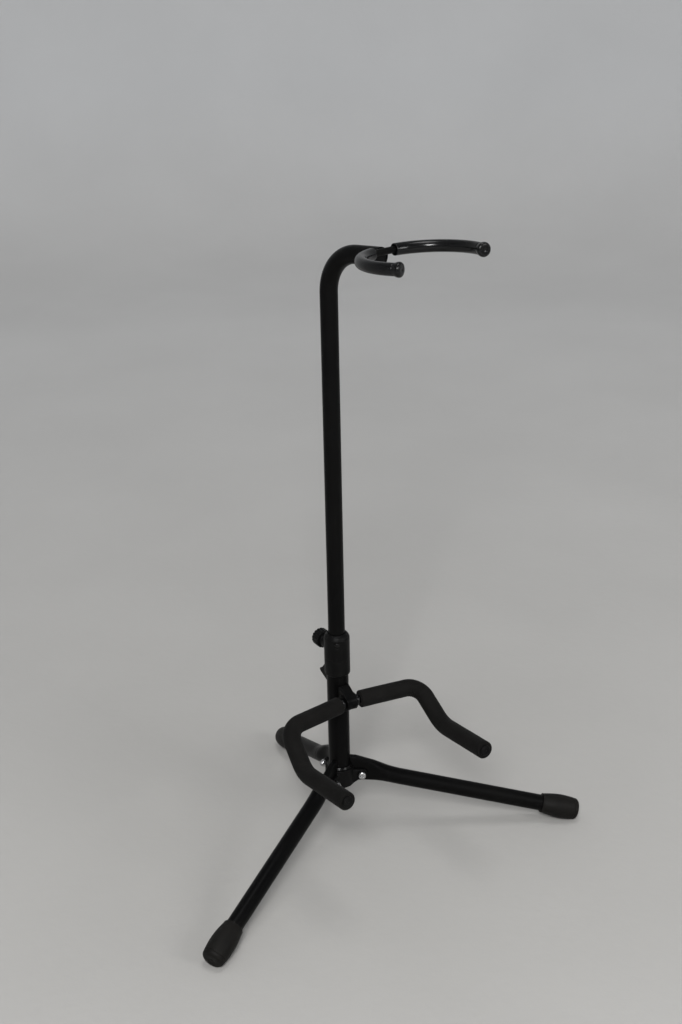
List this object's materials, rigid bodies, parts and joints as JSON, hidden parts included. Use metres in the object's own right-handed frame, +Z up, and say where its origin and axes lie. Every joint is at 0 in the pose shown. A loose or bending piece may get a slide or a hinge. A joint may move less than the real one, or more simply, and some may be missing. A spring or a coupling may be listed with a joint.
{
  "type": "guitar stand",
  "caption": "Folding guitar stand with a tripod base, height-adjustable post, foam-padded cradle arms and a padded neck rest.",
  "frame": {"origin": "on the floor, on the axis of the post", "axes": "+Z up along the post, -Y towards the guitar (cradle and neck rest point that way), +X to the stand's left as the guitar sees it"},
  "size_m": [0.5018, 0.3748, 0.7146],
  "materials": {
    "black_paint": "gloss",
    "bright_steel": "satin",
    "black_plastic": "satin",
    "nylon": "matte",
    "vinyl": "gloss",
    "foam": "matte",
    "rubber": "matte"
  },
  "bodies": {
    "base": {"lower_tube": "black_paint", "hub_plug": "black_plastic", "hub_ring": "black_paint", "base_hub": "black_plastic", "leg_pivot_screws": "bright_steel", "leg_pivot_washers": "bright_steel", "leg_pivot_nuts": "bright_steel", "height_collar": "black_plastic", "collar_rivet": "black_paint", "clamp_nut": "bright_steel", "cradle_bracket": "black_paint", "arm_stop_left": "bright_steel", "arm_stop_right": "bright_steel"},
    "slide": {"guide_bush": "nylon"},
    "neck": {"upper_tube": "black_paint", "neck_plug": "black_plastic", "yoke_rod": "black_paint", "yoke_sleeve_left": "vinyl", "yoke_sleeve_right": "vinyl", "yoke_tip_left": "vinyl", "yoke_tip_right": "vinyl"},
    "shoe": {"clamp_shoe": "nylon"},
    "knob": {"clamp_knob": "black_plastic", "clamp_stud": "bright_steel"},
    "arm_left": {"arm_rod_left": "black_paint", "arm_ring_left": "vinyl", "arm_foam_left": "foam", "arm_cap_left": "black_plastic"},
    "arm_right": {"arm_rod_right": "black_paint", "arm_ring_right": "vinyl", "arm_foam_right": "foam", "arm_cap_right": "black_plastic"},
    "leg_left": {"leg_left": "black_paint", "pivot_sleeve_left": "bright_steel", "foot_left": "rubber"},
    "leg_right": {"leg_right": "black_paint", "pivot_sleeve_right": "bright_steel", "foot_right": "rubber"},
    "leg_rear": {"leg_rear": "black_paint", "pivot_sleeve_rear": "bright_steel", "foot_rear": "rubber"}
  },
  "joints": [
    {"name": "height_slide", "type": "slide", "parent": "base", "child": "slide", "axis": [0, 0, 1], "range_m": [-0.085, 0.06]},
    {"name": "neck_turn", "type": "hinge", "parent": "slide", "child": "neck", "pos_m": [0, 0, 0.172], "axis": [0, 0, 1], "continuous": true},
    {"name": "clamp_travel", "type": "slide", "parent": "base", "child": "shoe", "axis": [0, 1, 0], "range_m": [0, 0.00151]},
    {"name": "clamp_turn", "type": "hinge", "parent": "shoe", "child": "knob", "pos_m": [0, 0.0248, 0.239], "axis": [0, 1, 0], "range_deg": [0, 540]},
    {"name": "arm_left_fold", "type": "hinge", "parent": "base", "child": "arm_left", "pos_m": [0, -0.0226, 0.1813], "axis": [-0.989, -0.1478, 0], "range_deg": [0, 95]},
    {"name": "arm_right_fold", "type": "hinge", "parent": "base", "child": "arm_right", "pos_m": [0, -0.0226, 0.1813], "axis": [-0.989, 0.1478, 0], "range_deg": [0, 95]},
    {"name": "leg_left_fold", "type": "hinge", "parent": "base", "child": "leg_left", "pos_m": [-0.02252, -0.013, 0.075], "axis": [0.5, -0.866, 0], "range_deg": [0, 75]},
    {"name": "leg_right_fold", "type": "hinge", "parent": "base", "child": "leg_right", "pos_m": [0.02252, -0.013, 0.075], "axis": [0.5, 0.866, 0], "range_deg": [0, 75]},
    {"name": "leg_rear_fold", "type": "hinge", "parent": "base", "child": "leg_rear", "pos_m": [0.00451, 0.0256, 0.075], "axis": [-0.9848, 0.1736, 0], "range_deg": [0, 69]}
  ],
  "couplings": [
    {"joint": "clamp_travel", "follows": "clamp_turn", "m_per_rad": 0.00015915}
  ]
}
